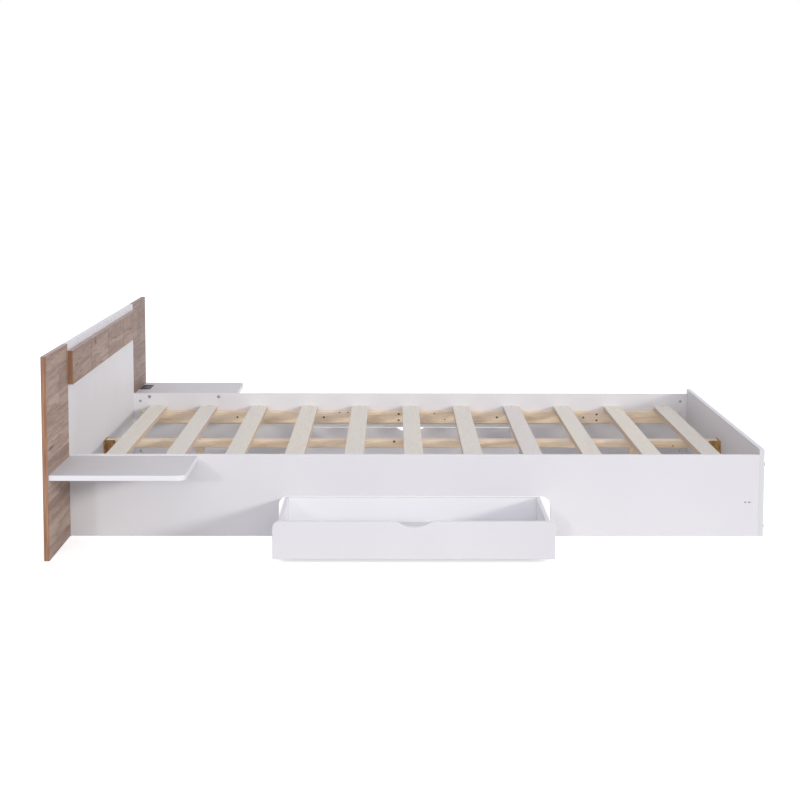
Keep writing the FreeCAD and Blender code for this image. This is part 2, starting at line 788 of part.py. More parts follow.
def caster_wheel(label):
    """A wheel with a tread, dished sides and a hub, turned round its axle."""
    body = new_body(label)
    half, rim, tread = "wheel_width / 2", "wheel_size / 2", "(wheel_size / 2 - wheel_tread)"
    bore, hub = "pin_size / 2 + pin_gap", "wheel_hub / 2"
    dish = f"{half} - wheel_dish"
    half_section = [(half, bore), (half, hub), (dish, hub), (dish, tread), (half, tread),
                    (half, f"{rim} - wheel_round"), (f"{half} - wheel_round", rim)]
    mirrored = [(f"-({across})", up) for across, up in reversed(half_section)]
    turned = outline(new_sketch(body, "XY"), half_section + mirrored)
    feature = body.newObject("PartDesign::Revolution", "Revolution")
    feature.Profile = turned
    feature.ReferenceAxis = (turned, ["H_Axis"])
    feature.Angle = FULL_TURN
    return body


CASTERS = {
    "front_left": ("-caster_across", "caster_front"), "front_right": ("caster_across", "caster_front"),
    "back_left": ("-caster_across", "caster_back"), "back_right": ("caster_across", "caster_back"),
}

for side in DRAWERS:
    name = f"{side}_drawer"
    fasteners = drawer_screws(side)
    keep(in_drawer(drawer_front(f"{name}_front"), side))
    left = drawer_side(f"{name}_side_left", "-box_half", ("-floor_half", "-inside_half"))
    right = drawer_side(f"{name}_side_right", "inside_half", ("inside_half", "floor_half"))
    for wall in (left, right, drawer_back(f"{name}_back")):
        keep(drilled(in_drawer(wall, side), [fasteners]))
    floor = new_body(f"{name}_floor")
    block(floor, ("2 * (floor_half - groove_gap)", "floor_far - floor_near", "floor_thick"))
    keep(in_drawer(floor, side, "-(floor_half - groove_gap)", "floor_near", "floor_under"))
    carriers = []
    for corner, spot in CASTERS.items():
        axle = pins(f"{name}_pin_{corner}", "YZ", "-pin_half", [("0", "0")], "pin_size", "2 * pin_half")
        pin = in_drawer(axle, side, *spot, "axle_height")
        fork = in_drawer(caster_fork(f"{name}_fork_{corner}"), side, *spot, "axle_height")
        carriers += [drilled(fork, [pin]), pin]
        keep(in_drawer(caster_wheel(f"{name}_wheel_{corner}"), side, *spot, "axle_height"))
    keep(group(f"{name}_casters", carriers))
    keep(fasteners)

keep(corner_bolts)
keep(drilled(plain_nuts, [corner_bolts]))
keep(shelf_bolts)
keep(wood_screws)
keep(hanger_screws)

# Check every piece, then write them

doc.recompute()
broken = [thing.Label for thing in doc.Objects if "Invalid" in thing.State or "Error" in thing.State]
broken += [piece.Label for piece in parts if piece.Shape.isNull() or not piece.Shape.isValid()]
if broken:
    raise ValueError(f"these objects are not sound: {broken}")

os.makedirs("parts", exist_ok=True)
for piece in parts:
    piece.Shape.exportStep(f"parts/{piece.Label}.step")
    print(f"{piece.Label}: {len(piece.Shape.Solids)} solids, {piece.Shape.Volume:.0f} cubic mm")
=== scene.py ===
"""Looks of the platform bed: finishes, fastener heads, floor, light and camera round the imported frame.

Metres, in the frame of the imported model: +X runs to the foot, +Y to the far side, +Z up.
"""
import math

import bmesh
import bpy
from mathutils import Matrix, Vector


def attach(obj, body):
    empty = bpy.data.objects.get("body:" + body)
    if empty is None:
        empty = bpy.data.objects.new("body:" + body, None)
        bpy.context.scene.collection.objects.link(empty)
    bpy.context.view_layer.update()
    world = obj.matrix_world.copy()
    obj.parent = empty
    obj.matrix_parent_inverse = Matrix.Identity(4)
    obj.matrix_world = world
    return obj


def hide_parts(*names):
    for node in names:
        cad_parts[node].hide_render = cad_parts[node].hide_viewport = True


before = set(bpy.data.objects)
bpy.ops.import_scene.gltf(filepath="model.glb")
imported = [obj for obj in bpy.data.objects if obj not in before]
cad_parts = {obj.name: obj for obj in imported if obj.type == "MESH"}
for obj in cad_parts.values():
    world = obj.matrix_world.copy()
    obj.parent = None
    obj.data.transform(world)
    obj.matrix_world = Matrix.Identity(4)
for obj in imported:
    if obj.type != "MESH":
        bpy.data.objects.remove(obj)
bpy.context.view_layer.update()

MM = 0.001
AXES = "XYZ"
FACE_COSINE = 0.9
PURE_WHITE = (1.0, 1.0, 1.0, 1.0)
NOISE_LOW, NOISE_HIGH = 0.3, 0.7  # most of a noise texture lies between these
MIX_FIRST, MIX_SECOND, MIX_RESULT = 6, 7, 2  # a Mix node's sockets for colours


def rgb(red, green, blue):
    """A colour given as screen values from 0 to 255."""
    linear = []
    for channel in (red, green, blue):
        share = channel / 255
        linear.append(share / 12.92 if share <= 0.04045 else ((share + 0.055) / 1.055) ** 2.4)
    return (*linear, 1.0)


# Materials


class Finish:
    """A material with one Principled shader, and short ways to add nodes and join them."""

    def __init__(self, name, **shader_inputs):
        self.material = bpy.data.materials.new(name)
        self.material.use_nodes = True
        self.tree = self.material.node_tree
        self.shader = self.tree.nodes["Principled BSDF"]
        self.here = self.add("TexCoord").outputs["Object"]
        self.give(self.shader, {name.replace("_", " "): value for name, value in shader_inputs.items()})

    def give(self, node, inputs):
        for name, value in inputs.items():
            if isinstance(value, bpy.types.NodeSocket):
                self.tree.links.new(value, node.inputs[name])
            else:
                node.inputs[name].default_value = value

    def add(self, kind, inputs=None, **settings):
        node = self.tree.nodes.new(f"ShaderNode{kind}")
        for name, setting in settings.items():
            setattr(node, name, setting)
        self.give(node, inputs or {})
        return node

    def calculate(self, operation, *values, clamp=False):
        node = self.add("Math", operation=operation, use_clamp=clamp)
        self.give(node, dict(enumerate(values)))
        return node.outputs[0]

    def stretched(self, scales, shift=(0, 0, 0)):
        """The piece's own coordinates, scaled along each axis and then moved."""
        mapping = self.add("Mapping", {"Vector": self.here, "Scale": scales, "Location": shift})
        return mapping.outputs["Vector"]

    def noise(self, vector, scale, detail=4.0, roughness=0.5, distortion=0.0):
        node = self.add("TexNoise", {"Vector": vector, "Scale": scale, "Detail": detail,
                                     "Roughness": roughness, "Distortion": distortion})
        return node.outputs[0]

    def ramp(self, factor, stops):
        """A colour for each place along a factor; stops are pairs of place and colour."""
        node = self.add("ValToRGB", {0: factor})
        band = node.color_ramp
        while len(band.elements) < len(stops):
            band.elements.new(0.5)
        for element, (place, colour) in zip(band.elements, stops):
            element.position = place
            element.color = colour
        return node.outputs["Color"]

    def remap(self, value, low, high, to_low, to_high):
        node = self.add("MapRange", {"Value": value, "From Min": low, "From Max": high,
                                     "To Min": to_low, "To Max": to_high})
        return node.outputs["Result"]

    def spread(self, noise, to_low, to_high):
        """A noise's usual range, drawn out to another range."""
        return self.remap(noise, NOISE_LOW, NOISE_HIGH, to_low, to_high)

    def mix(self, factor, first, second, blend="MIX"):
        node = self.add("Mix", {0: factor, MIX_FIRST: first, MIX_SECOND: second},
                        data_type="RGBA", blend_type=blend)
        return node.outputs[MIX_RESULT]

    def bump(self, height, strength, distance):
        node = self.add("Bump", {"Height": height, "Strength": strength, "Distance": distance})
        self.give(self.shader, {"Normal": node.outputs["Normal"]})

    def facing(self, axis):
        """1 where the surface looks along one of the piece's axes, and 0 elsewhere."""
        turned = self.add("VectorTransform", {"Vector": self.add("NewGeometry").outputs["True Normal"]},
                          vector_type="NORMAL", convert_from="WORLD", convert_to="OBJECT")
        parts = self.add("SeparateXYZ", {"Vector": turned.outputs["Vector"]})
        along = self.calculate("ABSOLUTE", parts.outputs[AXES.index(axis)])
        return self.calculate("GREATER_THAN", along, FACE_COSINE)

    def spots(self, places):
        """1 in the middle of spots and 0 outside them; places are pairs of a middle and a reach per axis."""
        whole = 0.0
        for middle, reach in places:
            gap = self.add("VectorMath", {0: self.here, 1: middle}, operation="SUBTRACT").outputs["Vector"]
            gap = self.add("VectorMath", {0: gap, 1: reach}, operation="DIVIDE").outputs["Vector"]
            gap = self.add("VectorMath", {0: gap}, operation="LENGTH").outputs["Value"]
            whole = self.calculate("MAXIMUM", whole, self.remap(gap, 1.0, 0.0, 0.0, 1.0))
        return whole


PILOT_REACH = (0.0022, 0.006, 0.0022)
PILOT_HOLES = [((place, -0.780, 0.103), PILOT_REACH) for place in (1.0005, 0.9885)]
# Paler colour for edge bands that face up: a painted highlight of the light from above.
TOP_EDGE_HIGHLIGHT = rgb(244, 244, 246)
# Colour in the pilot holes: the bare board's brown, darkened with painted shade of the hole.
HOLE_BOARD_AND_SHADE = rgb(112, 98, 92)


def white_board(name, broad_axis, low, high, edge):
    """White melamine faces, with edge bands lit by a painted highlight on top, and bare board with painted
    shade in the pilot holes.
    """
    finish = Finish(name, Specular_IOR_Level=0.2)
    face = finish.facing(broad_axis)
    cloud = finish.noise(finish.here, scale=3.0, detail=3.0)
    face_colour = finish.ramp(cloud, [(NOISE_LOW, low), (NOISE_HIGH, high)])
    # Edge bands that face up take the painted highlight.
    edge_band_with_highlight = finish.mix(finish.facing("Z"), edge, TOP_EDGE_HIGHLIGHT)
    colour = finish.mix(face, edge_band_with_highlight, face_colour)
    if broad_axis == "Y":
        # The pilot holes get the bare board's colour with painted shade.
        hole_board_and_shade = finish.calculate("GREATER_THAN", finish.spots(PILOT_HOLES), 0.0)
        colour = finish.mix(hole_board_and_shade, colour, HOLE_BOARD_AND_SHADE)
    peel = finish.noise(finish.here, scale=700.0, detail=2.0)
    smudge = finish.noise(finish.here, scale=11.0, detail=5.0)
    roughness = finish.spread(smudge, 0.42, 0.50)
    finish.give(finish.shader, {"Base Color": colour, "Roughness": roughness})
    finish.bump(finish.calculate("MULTIPLY", peel, face), strength=0.04, distance=0.05 * MM)
    return finish.material


SEED_SHIFT = (1.0, 2.3, 4.1)
SWAY_SHARE = 0.35
RINGS_PER_SWAY = 9.0


def scales_along(axis, stretch):
    scales = [1.0, 1.0, 1.0]
    scales[AXES.index(axis)] = stretch
    return scales


def grain(finish, along_axis, seed, rings_per_metre, fibre_per_metre, stretch, shift=None):
    """Two factors of plain sawn wood: growth rings and fine fibres, both drawn out along one axis."""
    place = finish.stretched(scales_along(along_axis, stretch), [share * seed for share in SEED_SHIFT])
    if shift is not None:
        moved = finish.add("VectorMath", {0: place, 1: shift}, operation="ADD")
        place = moved.outputs["Vector"]
    sway = finish.noise(place, SWAY_SHARE * rings_per_metre, detail=2.0, distortion=0.4)
    rings = finish.calculate("FRACT", finish.calculate("MULTIPLY", sway, RINGS_PER_SWAY))
    rings = finish.calculate("PINGPONG", rings, 0.5)
    fibre = finish.noise(place, fibre_per_metre, detail=5.0, roughness=0.65)
    return finish.calculate("MULTIPLY", rings, 2.0), fibre


def knots(finish, along_axis, seed, per_metre, size, share, stretch=0.55):
    """1 in the middle of scattered round knots and 0 away from them; share is how many cells hold one."""
    place = finish.stretched(scales_along(along_axis, stretch), (seed, seed, seed))
    cells = finish.add("TexVoronoi", {"Vector": place, "Scale": per_metre, "Randomness": 1.0})
    chosen = finish.calculate("GREATER_THAN", cells.outputs["Color"], 1.0 - share)
    near = finish.remap(cells.outputs["Distance"], size, 0.0, 0.0, 1.0)
    return finish.calculate("MULTIPLY", chosen, near, clamp=True)


WARM_TINT, COOL_TINT = rgb(255, 254, 249), rgb(250, 250, 255)


def sawn_wood(name, along_axis, seed, pale, warm, dark, knot_colour, knot_share, side, own_knots=()):
    """Planed softwood: pale ground, warmer ring bands, dark fibres and a few knots.

    Faces along X have a tint of their own, and pieces that follow each other along X differ in tone.
    """
    finish = Finish(name, Specular_IOR_Level=0.25)
    rings, fibre = grain(finish, along_axis, seed, rings_per_metre=26.0, fibre_per_metre=420.0, stretch=0.06)
    colour = finish.ramp(rings, [(0.0, pale), (0.62, pale), (1.0, warm)])
    streak = finish.remap(fibre, 0.42, 0.75, 0.0, 0.55)
    colour = finish.mix(streak, colour, dark)
    if own_knots:
        knot = finish.spots(own_knots)
    else:
        knot = knots(finish, along_axis, seed, per_metre=14.0, size=0.075, share=knot_share)
    colour = finish.mix(finish.remap(knot, 0.0, 0.5, 0.0, 1.0), colour, knot_colour)
    colour = finish.mix(finish.facing("X"), colour, finish.mix(1.0, colour, side, "MULTIPLY"))
    tone = finish.noise(finish.stretched((1.0, 0.0, 0.0), (seed, 0.0, 0.0)), scale=4.0, detail=1.0)
    tint = finish.ramp(tone, [(0.35, WARM_TINT), (0.65, COOL_TINT)])
    colour = finish.mix(1.0, colour, tint, "MULTIPLY")
    roughness = finish.spread(fibre, 0.58, 0.72)
    finish.give(finish.shader, {"Base Color": colour, "Roughness": roughness})
    finish.bump(fibre, strength=0.25, distance=0.3 * MM)
    return finish.material


OAK_PALE = rgb(194, 172, 156)
OAK_LIGHT = rgb(171, 145, 127)
OAK_BROWN = rgb(160, 133, 116)
OAK_DEEP = rgb(137, 108, 91)
OAK_DARK = rgb(106, 80, 66)
OAK_KNOT = rgb(74, 54, 44)
OAK_END_BAND = rgb(180, 137, 107), rgb(146, 106, 80)
# The paler, lilac band is for edges that face up: a painted highlight of the light from above.
OAK_TOP_BAND_HIGHLIGHT = rgb(198, 180, 176), rgb(168, 148, 142)
BLOCK_LENGTH = 0.390
BLOCK_HEIGHT = 0.123
BLOCK_OFFSET = 0.572
JOINT_SOFTNESS = 0.006, 0.019
TRIM_FACE, WING_FACE = -1.001, -1.016
OAK_KNOTS = [((TRIM_FACE, -0.698, 0.505), (0.02, 0.040, 0.005)),
             ((TRIM_FACE, -0.302, 0.538), (0.02, 0.028, 0.018)),
             ((TRIM_FACE, 0.177, 0.505), (0.02, 0.03, 0.005)),
             ((TRIM_FACE, 0.573, 0.500), (0.02, 0.03, 0.006)),
             ((WING_FACE, -1.110, 0.311), (0.02, 0.07, 0.008))]


def block_pattern(finish, joint_across, joint_up):
    """Staggered blocks: each one's tone, a fade to its upper edge, and how far off an upright joint is."""
    parts = finish.add("SeparateXYZ", {"Vector": finish.here})
    across = finish.calculate("SUBTRACT", parts.outputs["Y"], joint_across)
    up = finish.calculate("SUBTRACT", parts.outputs["Z"], joint_up)
    flat = finish.add("CombineXYZ", {"X": across, "Y": up})
    blocks = finish.add("TexBrick", {
        "Vector": flat.outputs["Vector"], "Color1": rgb(0, 0, 0), "Color2": rgb(255, 255, 255),
        "Mortar": rgb(128, 128, 128), "Scale": 1.0, "Mortar Size": 0.0, "Mortar Smooth": 0.0, "Bias": 0.0,
        "Brick Width": BLOCK_LENGTH, "Row Height": BLOCK_HEIGHT}, offset=BLOCK_OFFSET, squash=1.0)
    row = finish.calculate("DIVIDE", up, BLOCK_HEIGHT)
    fade = finish.remap(finish.calculate("FRACT", row), 0.4, 1.0, 0.0, 0.6)
    odd = finish.calculate("FLOORED_MODULO", finish.calculate("FLOOR", row), 2.0)
    stagger = finish.remap(odd, 0.0, 1.0, BLOCK_OFFSET, 0.0)
    joint = finish.calculate("ADD", finish.calculate("DIVIDE", across, BLOCK_LENGTH), stagger)
    return blocks.outputs["Color"], fade, finish.calculate("PINGPONG", joint, 0.5)


def oak_blocks(name, joint_across, joint_up, joint_depth, shade):
    """Oak-look laminate of staggered blocks, each with its own tone and grain, redder edge bands with a
    painted highlight on the ones that face up, and a painted shade colour over the whole board.
    """
    finish = Finish(name, Specular_IOR_Level=0.3)
    tone, fade, joint = block_pattern(finish, joint_across, joint_up)
    own_place = finish.add("VectorMath", {0: tone, 1: (5.0, 3.0, 7.0)}, operation="MULTIPLY")
    rings, fibre = grain(finish, "Y", seed=1.7, rings_per_metre=30.0, fibre_per_metre=480.0, stretch=0.03,
                         shift=own_place.outputs["Vector"])
    light = finish.mix(tone, OAK_LIGHT, OAK_PALE)
    deep = finish.mix(tone, OAK_DEEP, OAK_BROWN)
    colour = finish.mix(finish.remap(rings, 0.35, 1.0, 0.0, 0.75), light, deep)
    colour = finish.mix(fade, colour, OAK_DEEP)
    streak = finish.noise(finish.stretched((1.0, 0.05, 1.0)), scale=90.0, detail=3.0, roughness=0.6)
    colour = finish.mix(finish.remap(streak, 0.5, 0.7, 0.0, 0.75), colour, OAK_DEEP)
    colour = finish.mix(finish.remap(fibre, 0.45, 0.8, 0.0, 0.6), colour, OAK_DARK)
    colour = finish.mix(finish.remap(joint, *JOINT_SOFTNESS, joint_depth, 0.0), colour, OAK_DARK)
    strewn = knots(finish, "Y", seed=3.1, per_metre=6.5, size=0.05, share=0.08, stretch=0.2)
    knot = finish.calculate("MAXIMUM", strewn, finish.spots(OAK_KNOTS))
    colour = finish.mix(finish.remap(knot, 0.0, 0.7, 0.0, 0.8), colour, OAK_KNOT)
    upright = finish.noise(finish.stretched((1.0, 1.0, 0.03)), scale=330.0, detail=3.0)
    end = finish.mix(finish.remap(upright, 0.38, 0.62, 0.0, 1.0), *OAK_END_BAND)
    # Edges that face up take the painted highlight.
    top = finish.mix(finish.remap(fibre, 0.35, 0.75, 0.0, 1.0), *OAK_TOP_BAND_HIGHLIGHT)
    edge = finish.mix(finish.facing("Z"), end, top)
    # The shade colour darkens the whole board as painted shade.
    colour = finish.mix(1.0, finish.mix(finish.facing("X"), edge, colour), shade, "MULTIPLY")
    finish.give(finish.shader, {"Base Color": colour, "Roughness": finish.spread(fibre, 0.46, 0.62)})
    finish.bump(fibre, strength=0.3, distance=0.25 * MM)
    return finish.material


def plated_steel():
    """Bright zinc plating with soft blotches."""
    finish = Finish("zinc_steel", Metallic=1.0)
    blotch = finish.noise(finish.here, scale=160.0, detail=3.0)
    colour = finish.ramp(blotch, [(NOISE_LOW, rgb(150, 150, 152)), (NOISE_HIGH, rgb(178, 177, 174))])
    finish.give(finish.shader, {"Base Color": colour, "Roughness": finish.spread(blotch, 0.28, 0.42)})
    finish.bump(finish.noise(finish.here, scale=1500.0), strength=0.1, distance=0.05 * MM)
    return finish.material


def yellow_plated_steel(name, dark, light):
    """Steel under yellow passivation, blotched from brown to olive."""
    finish = Finish(name, Metallic=1.0)
    blotch = finish.noise(finish.here, scale=70.0, detail=4.0)
    colour = finish.ramp(blotch, [(0.35, dark), (0.65, light)])
    finish.give(finish.shader, {"Base Color": colour, "Roughness": finish.spread(blotch, 0.34, 0.48)})
    finish.bump(finish.noise(finish.here, scale=1300.0), strength=0.1, distance=0.05 * MM)
    return finish.material


def powder_coat():
    """Black powder coat with a fine grainy skin."""
    finish = Finish("black_steel", Specular_IOR_Level=0.4)
    speck = finish.noise(finish.here, scale=1200.0, detail=3.0)
    colour = finish.ramp(speck, [(0.35, rgb(24, 24, 25)), (0.65, rgb(38, 38, 40))])
    finish.give(finish.shader, {"Base Color": colour, "Roughness": 0.55})
    finish.bump(speck, strength=0.35, distance=0.15 * MM)
    return finish.material


def moulded_plastic(name, dark, light, roughness):
    """Matt moulded plastic, speckled and a little worn."""
    finish = Finish(name, Specular_IOR_Level=0.15)
    speck = finish.noise(finish.here, scale=900.0, detail=3.0)
    colour = finish.ramp(speck, [(NOISE_LOW, dark), (NOISE_HIGH, light)])
    wear = finish.noise(finish.here, scale=60.0, detail=4.0)
    worn = finish.spread(wear, roughness - 0.05, roughness + 0.07)
    finish.give(finish.shader, {"Base Color": colour, "Roughness": worn})
    finish.bump(speck, strength=0.25, distance=0.1 * MM)
    return finish.material


def hardboard():
    """White faced hardboard: smooth paint over a faint fibre."""
    finish = Finish("white_hardboard", Specular_IOR_Level=0.3)
    fibre = finish.noise(finish.here, scale=260.0, detail=5.0, roughness=0.7)
    colour = finish.ramp(fibre, [(NOISE_LOW, rgb(222, 222, 224)), (NOISE_HIGH, rgb(232, 232, 234))])
    finish.give(finish.shader, {"Base Color": colour, "Roughness": 0.6})
    finish.bump(fibre, strength=0.15, distance=0.1 * MM)
    return finish.material


KNOT, PIN_KNOT = (0.0055, 0.01, 0.0045), (0.0035, 0.01, 0.003)
LEDGER_FACE, BEAM_FACE = 0.745, -0.025
PINE_KNOTS = [((0.693, LEDGER_FACE, 0.171), KNOT), ((0.693, LEDGER_FACE, 0.149), KNOT),
              ((-0.037, LEDGER_FACE, 0.172), KNOT), ((-0.037, LEDGER_FACE, 0.149), KNOT),
              ((-0.224, LEDGER_FACE, 0.177), PIN_KNOT), ((-0.255, LEDGER_FACE, 0.177), PIN_KNOT),
              ((0.095, LEDGER_FACE, 0.174), PIN_KNOT), ((0.133, LEDGER_FACE, 0.151), PIN_KNOT),
              ((-0.054, BEAM_FACE, 0.178), KNOT), ((0.926, BEAM_FACE, 0.178), KNOT),
              ((0.873, BEAM_FACE, 0.164), PIN_KNOT), ((-0.61, -LEDGER_FACE, 0.160), KNOT),
              ((0.34, -LEDGER_FACE, 0.168), PIN_KNOT)]
PINE = dict(pale=rgb(252, 235, 208), warm=rgb(244, 218, 183), dark=rgb(210, 172, 134),
            knot_colour=rgb(98, 58, 38), knot_share=0.6, side=rgb(255, 255, 255))
SLAT = dict(pale=rgb(248, 244, 231), warm=rgb(246, 240, 225), dark=rgb(228, 216, 197),
            knot_colour=rgb(186, 162, 138), knot_share=0.1, side=rgb(226, 209, 197))

# Where the blocks start and how dark their upright joints are. The near wing counts its blocks from a corner
# that is whole blocks away, so its joints lie as on the far wing, but its blocks have other tones.
WING_JOINT, WING_ROW = -0.945, 0.038
NEAR_JOINT, NEAR_ROW = WING_JOINT - 5 * BLOCK_LENGTH, WING_ROW - 26 * BLOCK_HEIGHT
TRIM_JOINT, TRIM_ROW = 0.2231, 0.449
WING_DEPTH, TRIM_DEPTH = 0.3, 0.85

BOARD_LOW, BOARD_HIGH = rgb(230, 229, 229), rgb(234, 233, 233)
# The drawer boxes' boards are paler than the other boards' white: painted light inside the drawers.
BOX_LOW, BOX_HIGH = rgb(241, 241, 242), rgb(244, 244, 245)
# Each board's edge bands have their own brightness as painted light: darkest on the X boards, palest on the
# shelves and drawer boxes.
WHITE_X = white_board("white_laminate_x", "X", BOARD_LOW, BOARD_HIGH, rgb(226, 226, 225))
WHITE_Y = white_board("white_laminate_y", "Y", BOARD_LOW, BOARD_HIGH, rgb(236, 236, 237))
# The shelves' faces are darker than the other boards' white: painted shade on the shelves' tops.
WHITE_Z = white_board("white_laminate_z", "Z", rgb(222, 221, 222), rgb(226, 225, 226), rgb(241, 241, 242))
BOX_X = white_board("white_box_x", "X", BOX_LOW, BOX_HIGH, rgb(243, 243, 245))
BOX_Y = white_board("white_box_y", "Y", BOX_LOW, BOX_HIGH, rgb(243, 243, 245))
# The far wing and the trim are darker than the near wing by painted shade.
OAK_NEAR = oak_blocks("oak_laminate_near", NEAR_JOINT, NEAR_ROW, WING_DEPTH, rgb(255, 255, 255))
OAK_FAR = oak_blocks("oak_laminate_far", WING_JOINT, WING_ROW, WING_DEPTH, rgb(224, 219, 222))
OAK_TRIM = oak_blocks("oak_laminate_trim", TRIM_JOINT, TRIM_ROW, TRIM_DEPTH, rgb(246, 244, 244))
PINE_ALONG = sawn_wood("pine_rail", "X", 0.7, own_knots=PINE_KNOTS, **PINE)
PINE_UPRIGHT = sawn_wood("pine_leg", "Z", 2.9, **PINE)
PINE_ACROSS = sawn_wood("pine_batten", "Y", 4.2, **PINE)
SLAT_WOOD = sawn_wood("slat_wood", "Y", 5.3, **SLAT)
HARDBOARD = hardboard()
ZINC = plated_steel()
SCREW_STEEL = yellow_plated_steel("screw_steel", rgb(96, 66, 46), rgb(134, 104, 72))
HANGER_STEEL = yellow_plated_steel("hanger_steel", rgb(152, 106, 74), rgb(172, 150, 96))
BLACK_STEEL = powder_coat()
BLACK_PLASTIC = moulded_plastic("black_plastic", rgb(26, 26, 28), rgb(40, 40, 42), 0.42)
GREY_PLASTIC = moulded_plastic("dark_grey_plastic", rgb(56, 58, 61), rgb(74, 76, 79), 0.45)
WHEEL_PLASTIC = moulded_plastic("wheel_plastic", rgb(44, 44, 47), rgb(62, 62, 65), 0.5)

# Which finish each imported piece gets, by the start of its name without its side: the first match counts

FINISHES = [
    ("headboard_panel", WHITE_X), ("headboard_wing_near", OAK_NEAR), ("headboard_wing_far", OAK_FAR),
    ("headboard_trim", OAK_TRIM), ("headboard_batten", PINE_ACROSS),
    ("rail", WHITE_Y), ("footboard", WHITE_X), ("ledger", PINE_ALONG),
    ("centre_beam", PINE_ALONG), ("beam_hanger", HANGER_STEEL), ("centre_leg", PINE_UPRIGHT),
    ("slat", SLAT_WOOD), ("shelf_bolts", ZINC), ("shelf", WHITE_Z), ("power_unit_outlets", GREY_PLASTIC),
    ("power_unit", BLACK_PLASTIC), ("corner_bolts", ZINC), ("barrel_nuts", ZINC),
    ("wood_screws", SCREW_STEEL), ("hanger_screws", ZINC),
    ("drawer_front", WHITE_Y), ("drawer_back", BOX_Y), ("drawer_side", BOX_X), ("drawer_floor", HARDBOARD),
    ("drawer_wheel", WHEEL_PLASTIC), ("drawer_casters", BLACK_STEEL), ("drawer_screws", SCREW_STEEL),
]

for name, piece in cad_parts.items():
    kind = name.removeprefix("near_").removeprefix("far_")
    finish = next(material for start, material in FINISHES if kind.startswith(start))
    piece.data.materials.clear()
    piece.data.materials.append(finish)

# Fasteners: screws and bolts with a driver's recess stand for the plain ones, each where its solid is

WELD = 0.01 * MM
ROUND_SIDES = 20
HEX_SIDES = 6
RECESS_TAPER = 0.8
SHARP_ANGLE = math.radians(35)


def solids_of(node):
    """The corners of each separate solid in a node."""
    shell = bmesh.new()
    shell.from_mesh(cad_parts[node].data)
    bmesh.ops.remove_doubles(shell, verts=shell.verts, dist=WELD)
    left = dict.fromkeys(shell.verts)
    solids = []
    while left:
        reached = [next(iter(left))]
        del left[reached[0]]
        for vertex in reached:
            for edge in vertex.link_edges:
                other = edge.other_vert(vertex)
                if other in left:
                    del left[other]
                    reached.append(other)
        solids.append([vertex.co.copy() for vertex in reached])
    shell.free()
    return solids


def head_of(solid):
    """The turn and place that put a fastener drawn head up at this solid's head, and the solid's length."""
    low = Vector([min(corner[axis] for corner in solid) for axis in range(3)])
    high = Vector([max(corner[axis] for corner in solid) for axis in range(3)])
    size, middle = high - low, (low + high) / 2
    axis = max(range(3), key=lambda index: size[index])

    def width_at(level):
        gaps = [corner - middle for corner in solid if abs(corner[axis] - level) < WELD]
        return max(math.sqrt(max(gap.length_squared - gap[axis] ** 2, 0.0)) for gap in gaps)

    level, sign = max(((low[axis], -1.0), (high[axis], 1.0)), key=lambda end: width_at(end[0]))
    place, out = middle.copy(), Vector((0.0, 0.0, 0.0))
    place[axis], out[axis] = level, sign
    return Matrix.Translation(place) @ out.to_track_quat("Z", "Y").to_matrix().to_4x4(), size[axis]


def loop(shell, points, level):
    return [shell.verts.new((across, along, level)) for across, along in points]


def polygon(radius, sides):
    turns = [math.tau * index / sides for index in range(sides)]
    return [(radius * math.cos(turn), radius * math.sin(turn)) for turn in turns]


def wall(shell, upper, lower):
    for index in range(len(upper)):
        after = (index + 1) % len(upper)
        shell.faces.new((upper[index], lower[index], lower[after], upper[after]))


def rim(shell, vertices):
    return [shell.edges.get(pair) or shell.edges.new(pair)
            for pair in zip(vertices, vertices[1:] + vertices[:1])]


def add_fastener(shell, stand, profile, recess, depth):
    """A turned shape, given from its top rim to its tip, with a recess of this outline sunk in its top."""
    first = len(shell.verts)
    rings = [loop(shell, polygon(radius, ROUND_SIDES), level) for radius, level in profile]
    for upper, lower in zip(rings, rings[1:]):
        wall(shell, upper, lower)
    shell.faces.new(list(reversed(rings[-1])))
    top = profile[0][1]
    mouth = loop(shell, recess, top)
    narrowed = [(RECESS_TAPER * across, RECESS_TAPER * along) for across, along in recess]
    bottom = loop(shell, narrowed, top - depth)
    wall(shell, list(reversed(mouth)), list(reversed(bottom)))
    shell.faces.new(bottom)
    bmesh.ops.triangle_fill(shell, edges=rim(shell, rings[0]) + rim(shell, mouth), use_beauty=True)
    shell.verts.ensure_lookup_table()
    for vertex in shell.verts[first:]:
        vertex.co = stand @ (vertex.co * MM)


def cross_outline(reach, half):
    corner = [(reach, -half), (reach, half), (half, half)]
    turned = []
    for _ in range(4):
        turned += corner
        corner = [(-along, across) for across, along in corner]
    return turned


# Outlines in millimetres, as pairs of a radius and a level from the top rim down

SCREW_SHANK, SCREW_TIP = 2.0, 0.3
WOOD_HEAD, WOOD_HEAD_DEPTH, WOOD_TAPER_SHARE = 4.0, 2.4, 0.78
PAN_HEAD, PAN_HEAD_DEPTH, PAN_TAPER_SHARE = 3.75, 1.8, 0.7
BOLT_HEAD, BOLT_HEAD_DEPTH, BOLT_SHANK, BOLT_TIP, BOLT_TIP_LENGTH = 6.0, 2.5, 3.0, 2.3, 1.0


def wood_screw(length):
    return [(3.9, 0.0), (WOOD_HEAD, -0.15), (SCREW_SHANK, -WOOD_HEAD_DEPTH),
            (SCREW_SHANK, -WOOD_TAPER_SHARE * length), (SCREW_TIP, -length)]


def pan_screw(length):
    return [(2.7, 0.0), (3.4, -0.35), (PAN_HEAD, -1.0), (PAN_HEAD, -PAN_HEAD_DEPTH),
            (SCREW_SHANK, -PAN_HEAD_DEPTH), (SCREW_SHANK, -PAN_TAPER_SHARE * length), (SCREW_TIP, -length)]


